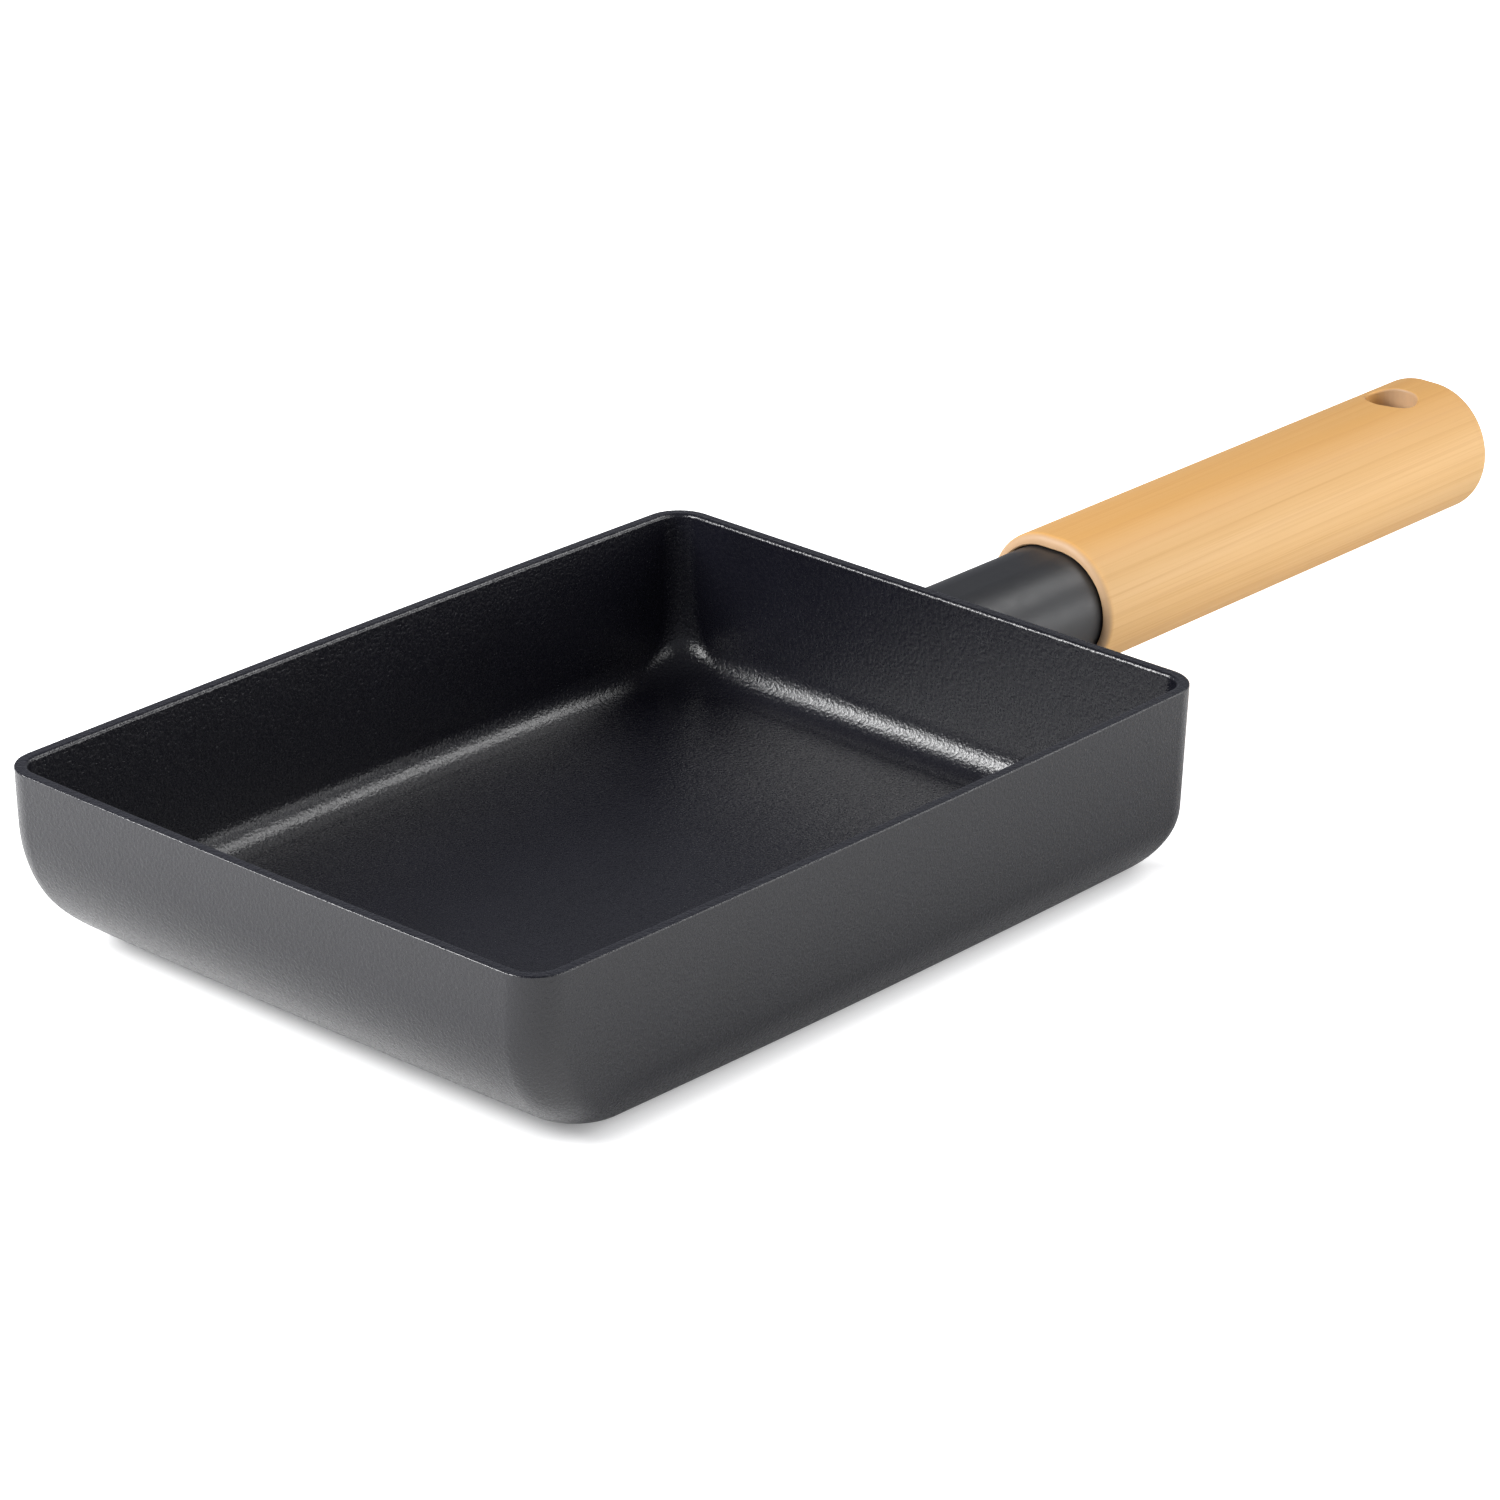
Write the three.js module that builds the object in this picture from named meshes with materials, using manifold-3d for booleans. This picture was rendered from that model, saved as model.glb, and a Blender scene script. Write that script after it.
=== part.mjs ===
// Rectangular egg pan: a cast aluminium pan, a black collar on the boss of its back wall and an oval
// beech handle, drawn together by a steel stud with a nut, two washers and a brass insert in the wood.
// Millimetres and degrees. X runs from the front wall to the handle, Y across the pan, Z up. The origin
// lies on the flat underside, below the middle of the rim.
import * as THREE from 'three';
import { mergeVertices } from 'three/addons/utils/BufferGeometryUtils.js';
import Module from 'manifold-3d';

// Pan, measured outside at the rim
const PAN_LENGTH = 180;
const PAN_WIDTH = 133;
const PAN_HEIGHT = 37.5;
const FRONT_BOW = 0.45;
const SIDE_BOW = 0.75;
const FRONT_DRAFT = 1.4;
const SIDE_DRAFT = 0.6;
const BACK_DRAFT = 0.8;
const FRONT_FOOT = 27.5;
const SIDE_FOOT = 12.4;
const BACK_FOOT = 13.5;
const RIM_CORNER = 7.7;
const BASE_CORNER = 9;
const RIM_ROUND = 0.5;
const RIM_CHAMFER = 0.7;

// Inside of the pan. The walls are thinnest at the rim and the side and back walls have tighter feet.
// The corners open out towards the floor, the later the larger their flare.
const WALL = 2.5;
const FLOOR = 4.7;
const INNER_SIDE_DRAFT = 3;
const INNER_BACK_DRAFT = 1;
const INNER_SIDE_FOOT = 6;
const INNER_BACK_FOOT = 7.3;
const INNER_FLOOR_CORNER = 15;
const INNER_CORNER_FLARE = 6;

// Boss cast on the back wall
const HANDLE_DROP = 13.3;
const BOSS_DIAMETER = 14;
const BOSS_LENGTH = 12;
const BOSS_BORE_DEPTH = 10;

// Collar, an oval sleeve with a web inside
const COLLAR_WIDTH = 26.3;
const COLLAR_HEIGHT = 22.2;
const COLLAR_SHOWN = 36;
const COLLAR_INSERT = 14;
const COLLAR_WEB = 6;
const COLLAR_END_ROUND = 0.6;

// Wooden handle
const MOUTH_WALL_SIDE = 1.9;
const MOUTH_WALL_TOP = 2.45;
const MOUTH_ROUND = 1.6;
const HANDLE_LENGTH = 127.6;
const TAIL_ROUND = 2;
const HANG_HOLE = 10.8;
const HANG_HOLE_FROM_TAIL = 15;

// Stud and the pieces on it
const STUD_DIAMETER = 6;
const STUD_CHAMFER = 0.8;
const STUD_IN_INSERT = 12;
const WASHER_DIAMETER = 12.5;
const WASHER_THICKNESS = 1.6;
const SPRING_WASHER_DIAMETER = 11.4;
const SPRING_WASHER_THICKNESS = 1.6;
const SPRING_WASHER_SPLIT = 14;
const NUT_ACROSS_FLATS = 10;
const NUT_HEIGHT = 5;
const INSERT_DIAMETER = 9.5;
const INSERT_LENGTH = 15;
const INSERT_CHAMFER = 0.6;

// Clearances between neighbours
const SEAT_GAP = 0.3;
const STACK_GAP = 0.1;
const THREAD_GAP = 0.15;
const SOCKET_ROOM = 1.25;
const DRILL_ROOM = 3;
const OVERCUT = 1;

// Fineness of the curves
const CORNER_STEPS = 8;
const SIDE_STEPS = 6;
const FOOT_STEPS = 11;
const ROUND_STEPS = 4;
const OVAL_SIDES = 64;
const TURNED_SIDES = 32;

// Sizes and places worked out from those above. The handle's own frame starts at the back wall, on
// the handle's axis.
const HANDLE_AXIS = new THREE.Vector3(PAN_LENGTH / 2, 0, PAN_HEIGHT - HANDLE_DROP);
const MOUTH_WIDTH = COLLAR_WIDTH + 2 * SEAT_GAP;
const MOUTH_HEIGHT = COLLAR_HEIGHT + 2 * SEAT_GAP;
const HANDLE_WIDTH = MOUTH_WIDTH + 2 * MOUTH_WALL_SIDE;
const HANDLE_HEIGHT = MOUTH_HEIGHT + 2 * MOUTH_WALL_TOP;
const NUT_ACROSS_CORNERS = NUT_ACROSS_FLATS / Math.cos(Math.PI / 6);
const COLLAR_SOCKET = Math.max(WASHER_DIAMETER, NUT_ACROSS_CORNERS) + 2 * SOCKET_ROOM;
const STUD_HOLE = STUD_DIAMETER + 2 * SEAT_GAP;
const THREAD_HOLE = STUD_DIAMETER + 2 * THREAD_GAP;
const WEB_START = BOSS_LENGTH + SEAT_GAP;
const WEB_END = WEB_START + COLLAR_WEB;
const COLLAR_END = COLLAR_SHOWN + COLLAR_INSERT;
const HANDLE_END = COLLAR_SHOWN + HANDLE_LENGTH;
const MOUTH_FLOOR = COLLAR_END + SEAT_GAP;
const INSERT_START = MOUTH_FLOOR + SEAT_GAP;
const INSERT_END = INSERT_START + INSERT_LENGTH;
const BOSS_BORE_START = BOSS_LENGTH - BOSS_BORE_DEPTH;
const STUD_START = BOSS_BORE_START + SEAT_GAP;
const STUD_END = INSERT_START + STUD_IN_INSERT;
const WASHER_START = WEB_END + STACK_GAP;
const SPRING_WASHER_START = WASHER_START + WASHER_THICKNESS + STACK_GAP;
const NUT_START = SPRING_WASHER_START + SPRING_WASHER_THICKNESS + STACK_GAP;

// The pan's two skins. Each has its walls' place inside the outer rim, its floor, its corners' radii
// at the rim and at the floor, the power by which one grows to the other, and each wall's draft and
// foot radius.
const OUTSIDE = {
  inset: 0,
  floor: 0,
  rimCorner: RIM_CORNER,
  floorCorner: BASE_CORNER,
  flare: 1,
  front: { draft: FRONT_DRAFT, foot: FRONT_FOOT },
  side: { draft: SIDE_DRAFT, foot: SIDE_FOOT },
  back: { draft: BACK_DRAFT, foot: BACK_FOOT },
};
const INSIDE = {
  inset: WALL,
  floor: FLOOR,
  rimCorner: RIM_CORNER - WALL,
  floorCorner: INNER_FLOOR_CORNER,
  flare: INNER_CORNER_FLARE,
  front: { draft: FRONT_DRAFT, foot: FRONT_FOOT - WALL },
  side: { draft: INNER_SIDE_DRAFT, foot: INNER_SIDE_FOOT },
  back: { draft: INNER_BACK_DRAFT, foot: INNER_BACK_FOOT },
};

const QUARTER = Math.PI / 2;
const wasm = await Module();
wasm.setup();

// Weld a geometry's shared corners and hand it over as a solid.
function solid(geometry) {
  const bare = geometry.clone();
  bare.deleteAttribute('normal');
  bare.deleteAttribute('uv');
  const welded = mergeVertices(bare, 1e-5);
  const vertProperties = new Float32Array(welded.attributes.position.array);
  const triVerts = new Uint32Array(welded.index.array);
  return new wasm.Manifold(new wasm.Mesh({ numProp: 3, vertProperties, triVerts }));
}

// Turn a solid back into a geometry.
function geometryOf(manifold) {
  const mesh = manifold.getMesh();
  const geometry = new THREE.BufferGeometry();
  geometry.setAttribute('position', new THREE.BufferAttribute(mesh.vertProperties, mesh.numProp));
  geometry.setIndex(new THREE.BufferAttribute(mesh.triVerts, 1));
  geometry.computeVertexNormals();
  return geometry;
}

// Skin a stack of rings that all have as many points, and close both ends with a fan.
function loft(rings) {
  const count = rings[0].length;
  const points = rings.flat();
  const triangles = [];
  for (let row = 0; row < rings.length - 1; row += 1) {
    for (let i = 0; i < count; i += 1) {
      const here = row * count + i;
      const next = row * count + ((i + 1) % count);
      triangles.push(here, next, next + count, here, next + count, here + count);
    }
  }
  const addCap = (row, isFirst) => {
    const centre = new THREE.Vector3();
    rings[row].forEach((point) => centre.addScaledVector(point, 1 / count));
    const hub = points.push(centre) - 1;
    for (let i = 0; i < count; i += 1) {
      const here = row * count + i;
      const next = row * count + ((i + 1) % count);
      triangles.push(hub, isFirst ? next : here, isFirst ? here : next);
    }
  };
  addCap(0, true);
  addCap(rings.length - 1, false);
  const geometry = new THREE.BufferGeometry().setFromPoints(points);
  geometry.setIndex(triangles);
  geometry.computeVertexNormals();
  return geometry;
}

// How far a drafted wall with a rounded foot has come in, at a height above its floor.
function wallInset(height, wallHeight, draft, foot) {
  const lean = THREE.MathUtils.degToRad(draft);
  const footHeight = foot * (1 - Math.sin(lean));
  if (height >= footHeight) return (wallHeight - height) * Math.tan(lean);
  const floorInset = (wallHeight - footHeight) * Math.tan(lean) + foot * Math.cos(lean);
  return floorInset - Math.sqrt(Math.max(0, foot ** 2 - (foot - height) ** 2));
}

// A foot's radius on a skin, kept below the rim's chamfer.
function footRadius(skin, wall) {
  return Math.min(wall.foot, PAN_HEIGHT - skin.floor - RIM_CHAMFER);
}

// One level of a pan skin: four walls, three of them bowed, between round corners. Each wall has a
// draft and a foot of its own.
function panRing(skin, z, rimInset = 0) {
  const depth = PAN_HEIGHT - skin.floor;
  const inset = (wall) => {
    const footInset = wallInset(z - skin.floor, depth, wall.draft, footRadius(skin, wall));
    return skin.inset + rimInset + footInset;
  };
  const front = -PAN_LENGTH / 2 + inset(skin.front);
  const back = PAN_LENGTH / 2 - inset(skin.back);
  const side = PAN_WIDTH / 2 - inset(skin.side);
  const sunk = (PAN_HEIGHT - z) / depth;
  const opened = THREE.MathUtils.lerp(skin.rimCorner, skin.floorCorner, sunk ** skin.flare);
  const corner = opened - rimInset;
  const arcFront = front + corner;
  const arcBack = back - corner;
  const arcSide = side - corner;
  const middle = (front + back) / 2;
  const at = (x, y) => new THREE.Vector2(x, y);
  const arc = (x, y, turn) =>
    new THREE.EllipseCurve(x, y, corner, corner, turn * QUARTER, (turn + 1) * QUARTER);
  const bowed = (start, peak, end) => new THREE.QuadraticBezierCurve(start, peak, end);
  const outline = [
    [new THREE.LineCurve(at(back, -arcSide), at(back, arcSide)), SIDE_STEPS],
    [arc(arcBack, arcSide, 0), CORNER_STEPS],
    [bowed(at(arcBack, side), at(middle, side + 2 * SIDE_BOW), at(arcFront, side)), SIDE_STEPS],
    [arc(arcFront, arcSide, 1), CORNER_STEPS],
    [bowed(at(front, arcSide), at(front - 2 * FRONT_BOW, 0), at(front, -arcSide)), SIDE_STEPS],
    [arc(arcFront, -arcSide, 2), CORNER_STEPS],
    [bowed(at(arcFront, -side), at(middle, -side - 2 * SIDE_BOW), at(arcBack, -side)), SIDE_STEPS],
    [arc(arcBack, -arcSide, 3), CORNER_STEPS],
  ];
  const points = outline.flatMap(([curve, steps]) => curve.getPoints(steps).slice(0, -1));
  return points.map((point) => new THREE.Vector3(point.x, point.y, z));
}

// The rings of a skin from its floor up to the top of the largest foot.
function footRings(skin) {
  const walls = [skin.front, skin.side, skin.back];
  const foot = Math.max(...walls.map((wall) => footRadius(skin, wall)));
  const rings = [];
  for (let step = 0; step <= FOOT_STEPS; step += 1) {
    const angle = (step / FOOT_STEPS) * QUARTER;
    rings.push(panRing(skin, skin.floor + foot * (1 - Math.cos(angle))));
  }
  return rings;
}

// The open shell: up the outside, over the rim and down the inside to the cooking floor.
function panShell() {
  const rim = [
    panRing(OUTSIDE, PAN_HEIGHT - RIM_ROUND),
    panRing(OUTSIDE, PAN_HEIGHT, RIM_ROUND),
    panRing(INSIDE, PAN_HEIGHT, -RIM_CHAMFER),
    panRing(INSIDE, PAN_HEIGHT - RIM_CHAMFER),
  ];
  return loft([...footRings(OUTSIDE), ...rim, ...footRings(INSIDE).reverse()]);
}

// The pan's outer form, filled up and grown by the seat gap, that the collar is scribed to.
function grownPan() {
  const grow = (wall) => ({ draft: wall.draft, foot: wall.foot + SEAT_GAP });
  const skin = {
    inset: -SEAT_GAP,
    floor: -SEAT_GAP,
    rimCorner: RIM_CORNER + SEAT_GAP,
    floorCorner: BASE_CORNER + SEAT_GAP,
    flare: OUTSIDE.flare,
    front: grow(OUTSIDE.front),
    side: grow(OUTSIDE.side),
    back: grow(OUTSIDE.back),
  };
  return loft([...footRings(skin), panRing(skin, PAN_HEIGHT)]);
}

// A round bar along X, between two places on the axis.
function bar(diameter, start, end) {
  const geometry = new THREE.CylinderGeometry(diameter / 2, diameter / 2, end - start, TURNED_SIDES);
  geometry.rotateZ(-QUARTER);
  geometry.translate((start + end) / 2, 0, 0);
  return geometry;
}

// A piece turned about X, from a list of [place, radius] pairs that ends on the axis or closes.
function turned(profile) {
  const points = profile.map(([place, radius]) => new THREE.Vector2(radius, place));
  const geometry = new THREE.LatheGeometry(points, TURNED_SIDES);
  geometry.rotateZ(-QUARTER);
  return geometry;
}

// A flat shape extruded along X.
function plate(shape, start, thickness) {
  const settings = { depth: thickness, bevelEnabled: false, curveSegments: TURNED_SIDES / 2 };
  const geometry = new THREE.ExtrudeGeometry(shape, settings);
  geometry.rotateY(QUARTER);
  geometry.translate(start, 0, 0);
  return geometry;
}

// A round hole in a flat shape.
function roundHole(diameter) {
  return new THREE.Path().absarc(0, 0, diameter / 2, 0, 4 * QUARTER, true);
}

// An oval ring across X: two half circles with short flats between them.
function ovalRing(width, height, x) {
  const radius = Math.min(width, height) / 2;
  const points = [];
  for (let i = 0; i < OVAL_SIDES; i += 1) {
    const angle = ((i + 0.5) / OVAL_SIDES) * 4 * QUARTER;
    const y = radius * Math.cos(angle) + Math.sign(Math.cos(angle)) * (width / 2 - radius);
    const z = radius * Math.sin(angle) + Math.sign(Math.sin(angle)) * (height / 2 - radius);
    points.push(new THREE.Vector3(x, y, z));
  }
  return points;
}

// The rings of an oval bar's rounded end, from its end face inwards.
function roundedEnd(width, height, face, round, direction) {
  const rings = [];
  for (let step = 0; step <= ROUND_STEPS; step += 1) {
    const angle = (step / ROUND_STEPS) * QUARTER;
    const inset = 2 * round * (1 - Math.sin(angle));
    const place = face + direction * round * (1 - Math.cos(angle));
    rings.push(ovalRing(width - inset, height - inset, place));
  }
  return rings;
}

// The shell with the handle boss cast on its back wall, bored blind for the stud.
function panBody() {
  const boss = bar(BOSS_DIAMETER, -WALL / 2, BOSS_LENGTH);
  const bore = bar(THREAD_HOLE, BOSS_BORE_START, BOSS_LENGTH + OVERCUT);
  boss.translate(...HANDLE_AXIS);
  bore.translate(...HANDLE_AXIS);
  return geometryOf(solid(panShell()).add(solid(boss)).subtract(solid(bore)));
}

// The collar: an oval sleeve scribed to the back wall, hollow on both sides of the web that the nut
// pulls against the boss.
function handleCollar() {
  const sleeve = loft([
    ovalRing(COLLAR_WIDTH, COLLAR_HEIGHT, -BACK_FOOT),
    ...roundedEnd(COLLAR_WIDTH, COLLAR_HEIGHT, COLLAR_END, COLLAR_END_ROUND, -1).reverse(),
  ]);
  const wall = grownPan();
  wall.translate(...HANDLE_AXIS.clone().negate());
  const bossSocket = bar(BOSS_DIAMETER + 2 * SEAT_GAP, -BACK_FOOT - OVERCUT, WEB_START);
  const nutSocket = bar(COLLAR_SOCKET, WEB_END, COLLAR_END + OVERCUT);
  const studHole = bar(STUD_HOLE, WEB_START - OVERCUT, WEB_END + OVERCUT);
  return geometryOf(solid(sleeve)
    .subtract(solid(wall))
    .subtract(solid(bossSocket))
    .subtract(solid(nutSocket))
    .subtract(solid(studHole)));
}

// The beech handle: an oval bar with a mouth for the collar, a bore for the insert and a hang hole.
function woodenHandle() {
  const blank = loft([
    ...roundedEnd(HANDLE_WIDTH, HANDLE_HEIGHT, COLLAR_SHOWN, MOUTH_ROUND, 1),
    ...roundedEnd(HANDLE_WIDTH, HANDLE_HEIGHT, HANDLE_END, TAIL_ROUND, -1).reverse(),
  ]);
  const mouth = loft([
    ovalRing(MOUTH_WIDTH, MOUTH_HEIGHT, COLLAR_SHOWN - OVERCUT),
    ovalRing(MOUTH_WIDTH, MOUTH_HEIGHT, MOUTH_FLOOR),
  ]);
  const boreEnd = Math.max(INSERT_END, STUD_END) + DRILL_ROOM;
  const insertBore = bar(INSERT_DIAMETER + 2 * THREAD_GAP, MOUTH_FLOOR - OVERCUT, boreEnd);
  const hangHole = new THREE.CylinderGeometry(
    HANG_HOLE / 2, HANG_HOLE / 2, HANDLE_HEIGHT + 2 * OVERCUT, TURNED_SIDES);
  hangHole.rotateX(QUARTER);
  hangHole.translate(HANDLE_END - HANG_HOLE_FROM_TAIL, 0, 0);
  return geometryOf(solid(blank)
    .subtract(solid(mouth))
    .subtract(solid(insertBore))
    .subtract(solid(hangHole)));
}

// The stud: a rod with chamfered ends, from the boss through the collar into the insert.
function handleStud() {
  const radius = STUD_DIAMETER / 2;
  return turned([
    [STUD_START, 0],
    [STUD_START, radius - STUD_CHAMFER],
    [STUD_START + STUD_CHAMFER, radius],
    [STUD_END - STUD_CHAMFER, radius],
    [STUD_END, radius - STUD_CHAMFER],
    [STUD_END, 0],
  ]);
}

// The brass insert: a sleeve sunk in the wood, with its outer edges broken.
function threadedInsert() {
  const inner = THREAD_HOLE / 2;
  const outer = INSERT_DIAMETER / 2;
  return turned([
    [INSERT_START, inner],
    [INSERT_START, outer - INSERT_CHAMFER],
    [INSERT_START + INSERT_CHAMFER, outer],
    [INSERT_END - INSERT_CHAMFER, outer],
    [INSERT_END, outer - INSERT_CHAMFER],
    [INSERT_END, inner],
    [INSERT_START, inner],
  ]);
}

// The flat washer that bears on the collar's web.
function flatWasher() {
  const shape = new THREE.Shape().absarc(0, 0, WASHER_DIAMETER / 2, 0, 4 * QUARTER);
  shape.holes.push(roundHole(STUD_HOLE));
  return plate(shape, WASHER_START, WASHER_THICKNESS);
}

// The spring washer: a ring that is split across.
function springWasher() {
  const halfSplit = THREE.MathUtils.degToRad(SPRING_WASHER_SPLIT) / 2;
  const shape = new THREE.Shape();
  shape.absarc(0, 0, SPRING_WASHER_DIAMETER / 2, halfSplit, 4 * QUARTER - halfSplit);
  shape.absarc(0, 0, STUD_HOLE / 2, 4 * QUARTER - halfSplit, halfSplit, true);
  shape.closePath();
  return plate(shape, SPRING_WASHER_START, SPRING_WASHER_THICKNESS);
}

// The hexagon nut.
function hexNut() {
  const corners = [];
  for (let i = 0; i < 6; i += 1) {
    const corner = new THREE.Vector2(NUT_ACROSS_CORNERS / 2, 0);
    corners.push(corner.rotateAround(new THREE.Vector2(), (i / 6) * 4 * QUARTER));
  }
  const shape = new THREE.Shape(corners);
  shape.holes.push(roundHole(THREAD_HOLE));
  return plate(shape, NUT_START, NUT_HEIGHT);
}

const coat = new THREE.MeshStandardMaterial({ color: 0x3b3c40, roughness: 0.55, metalness: 0.3 });
const blackPaint = new THREE.MeshStandardMaterial({ color: 0x2a2a2d, roughness: 0.45, metalness: 0.1 });
const beech = new THREE.MeshStandardMaterial({ color: 0xe6bc7e, roughness: 0.5, metalness: 0 });
const steel = new THREE.MeshStandardMaterial({ color: 0xb4b8bc, roughness: 0.35, metalness: 1 });
const brass = new THREE.MeshStandardMaterial({ color: 0xc9a552, roughness: 0.4, metalness: 1 });

function part(name, geometry, material) {
  const mesh = new THREE.Mesh(geometry, material);
  mesh.name = name;
  return mesh;
}

const handle = new THREE.Group();
handle.position.copy(HANDLE_AXIS);
handle.add(
  part('handle_collar', handleCollar(), blackPaint),
  part('wooden_handle', woodenHandle(), beech),
  part('handle_stud', handleStud(), steel),
  part('flat_washer', flatWasher(), steel),
  part('spring_washer', springWasher(), steel),
  part('hex_nut', hexNut(), steel),
  part('threaded_insert', threadedInsert(), brass),
);

const eggPan = new THREE.Group();
eggPan.add(part('pan_body', panBody(), coat), handle);

export default eggPan;
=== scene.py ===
# %% [markdown]
# # A rectangular egg pan with a beech handle
# This lesson dresses a pan that already exists as solid pieces. The solids say where everything is and
# how large it is, and they come in as a fixed frame, so nothing here is ever moved to fit. What is left
# for Blender is what the eye sees: smooth walls, soft edges, a grainy coat, satin paint and wood.

# %% Load the pan's solids
import math
from collections import namedtuple

import bmesh
import bpy
from mathutils import Matrix, Quaternion, Vector


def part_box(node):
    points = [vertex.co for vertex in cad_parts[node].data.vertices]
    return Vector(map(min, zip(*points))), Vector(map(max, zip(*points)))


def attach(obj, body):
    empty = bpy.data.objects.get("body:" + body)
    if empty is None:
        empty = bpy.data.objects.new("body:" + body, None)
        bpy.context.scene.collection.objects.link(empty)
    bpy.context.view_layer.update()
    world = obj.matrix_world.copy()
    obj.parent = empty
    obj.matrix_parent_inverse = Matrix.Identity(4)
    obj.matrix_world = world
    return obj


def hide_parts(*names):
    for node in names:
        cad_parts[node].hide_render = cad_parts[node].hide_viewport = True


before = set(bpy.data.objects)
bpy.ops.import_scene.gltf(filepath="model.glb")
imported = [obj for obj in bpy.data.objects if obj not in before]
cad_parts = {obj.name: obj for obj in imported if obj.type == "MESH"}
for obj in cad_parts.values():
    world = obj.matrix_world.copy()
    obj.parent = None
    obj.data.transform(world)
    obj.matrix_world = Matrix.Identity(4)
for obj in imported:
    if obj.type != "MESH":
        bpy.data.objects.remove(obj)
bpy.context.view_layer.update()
MM = 0.001
print("solids:", ", ".join(sorted(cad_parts)))

# %% [markdown]
# ## The camera
# The picture looks down on the front right corner of the pan through a long lens, which keeps the far
# side almost as large as the near one. A camera can be turned by hand until it looks right, but here it
# is placed by the angles that a photographer would read off: which way it looks, how steeply, how far
# off it stands, and a slight tilt of the hand.

# %% Camera
AIM = Vector((15.14, -19.92, 33.15)) * MM
CAMERA_AZIMUTH = math.radians(-48.5)
CAMERA_ELEVATION = math.radians(23.26)
CAMERA_ROLL = math.radians(0.8)
CAMERA_DISTANCE = 1085.6 * MM
CAMERA_LENS = 143.3

towards_camera = Vector((
    math.sin(CAMERA_AZIMUTH) * math.cos(CAMERA_ELEVATION),
    -math.cos(CAMERA_AZIMUTH) * math.cos(CAMERA_ELEVATION),
    math.sin(CAMERA_ELEVATION),
))
camera = bpy.data.objects.new("camera", bpy.data.cameras.new("camera"))
camera.data.lens = CAMERA_LENS
camera.location = AIM + towards_camera * CAMERA_DISTANCE
camera.rotation_mode = "QUATERNION"
camera.rotation_quaternion = towards_camera.to_track_quat("Z", "Y") @ Quaternion((0, 0, 1), CAMERA_ROLL)
scene = bpy.context.scene
scene.collection.objects.link(camera)
scene.camera = camera
scene.view_settings.view_transform = "Standard"
print("camera stands", round(camera.location.length, 3), "m from the pan's origin")

# %% [markdown]
# ## Two helpers for materials
# Colours are picked as hex values, the way a colour picker shows them, but a shader adds up light, so
# every colour is turned to linear values once, in one place. The second helper adds a node, sets it and
# links it in one call, which keeps a node tree readable as text. `per_metre` turns the real size of a
# pattern, in millimetres, into the scale that a texture node wants.

# %% Material helpers


def colour(hex_value):
    """An sRGB hex colour as linear red, green, blue and alpha."""
    channels = [int(hex_value[i:i + 2], 16) / 255 for i in (1, 3, 5)]
    linear = [c / 12.92 if c <= 0.04045 else ((c + 0.055) / 1.055) ** 2.4 for c in channels]
    return (*linear, 1.0)


def per_metre(millimetres):
    """The scale of a texture whose features are this far apart."""
    return 1 / (millimetres * MM)


def add(tree, kind, settings=None, inputs=None):
    """A new node with its settings, and with each input set to a value or linked to a socket."""
    node = tree.nodes.new(kind)
    for name, value in (settings or {}).items():
        setattr(node, name, value)
    for name, value in (inputs or {}).items():
        if isinstance(value, bpy.types.NodeSocket):
            tree.links.new(value, node.inputs[name])
        else:
            node.inputs[name].default_value = value
    return node


def new_material(name):
    """An empty material, its node tree and its output node."""
    material = bpy.data.materials.new(name)
    material.use_nodes = True
    material.node_tree.nodes.clear()
    return material, material.node_tree, material.node_tree.nodes.new("ShaderNodeOutputMaterial")


# A colour mix keeps its two colours and its result at these places among its sockets.
MIX_A, MIX_B, MIX_RESULT = 6, 7, 2
COLOUR_MIX = {"data_type": "RGBA"}
print("helpers ready:", colour("#808080")[0])

# %% [markdown]
# ## The non-stick coat
# The pan is cast aluminium, blasted and sprayed with a charcoal non-stick coat. Sprayed droplets cure as
# a fine sand-like skin, so a highlight breaks up into grains instead of running clean. A flat grey would
# look like plastic. So one fine noise makes both the bump of the skin and its drift in gloss, and a
# wide, weak noise clouds the tone.

# %% Coat material
COAT_GRAIN, COAT_CLOUD = 0.65, 14
COAT_TONES = "#0b0b12", "#111119"
COAT_ROUGHNESS = 0.23, 0.31
COAT_RELIEF = 0.13 * MM


def sprayed_non_stick_coat():
    """Charcoal, semi-gloss and grainy: highlights are broad and made of specks."""
    material, tree, output = new_material("sprayed_non_stick_coat")
    place = add(tree, "ShaderNodeTexCoord").outputs["Object"]
    grain = add(tree, "ShaderNodeTexNoise", {}, {
        "Vector": place, "Scale": per_metre(COAT_GRAIN), "Detail": 2.0, "Roughness": 0.6})
    cloud = add(tree, "ShaderNodeTexNoise", {}, {
        "Vector": place, "Scale": per_metre(COAT_CLOUD), "Detail": 3.0})
    tone = add(tree, "ShaderNodeMix", COLOUR_MIX, {
        "Factor": cloud.outputs["Fac"], MIX_A: colour(COAT_TONES[0]), MIX_B: colour(COAT_TONES[1])})
    gloss = add(tree, "ShaderNodeMapRange", {}, {
        "Value": grain.outputs["Fac"], "From Min": 0.3, "From Max": 0.7,
        "To Min": COAT_ROUGHNESS[0], "To Max": COAT_ROUGHNESS[1]})
    bump = add(tree, "ShaderNodeBump", {}, {
        "Height": grain.outputs["Fac"], "Strength": 1.0, "Distance": COAT_RELIEF})
    surface = add(tree, "ShaderNodeBsdfPrincipled", {}, {
        "Base Color": tone.outputs[MIX_RESULT], "Roughness": gloss.outputs["Result"],
        "IOR": 1.6, "Normal": bump.outputs["Normal"]})
    tree.links.new(surface.outputs["BSDF"], output.inputs["Surface"])
    return material


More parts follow.
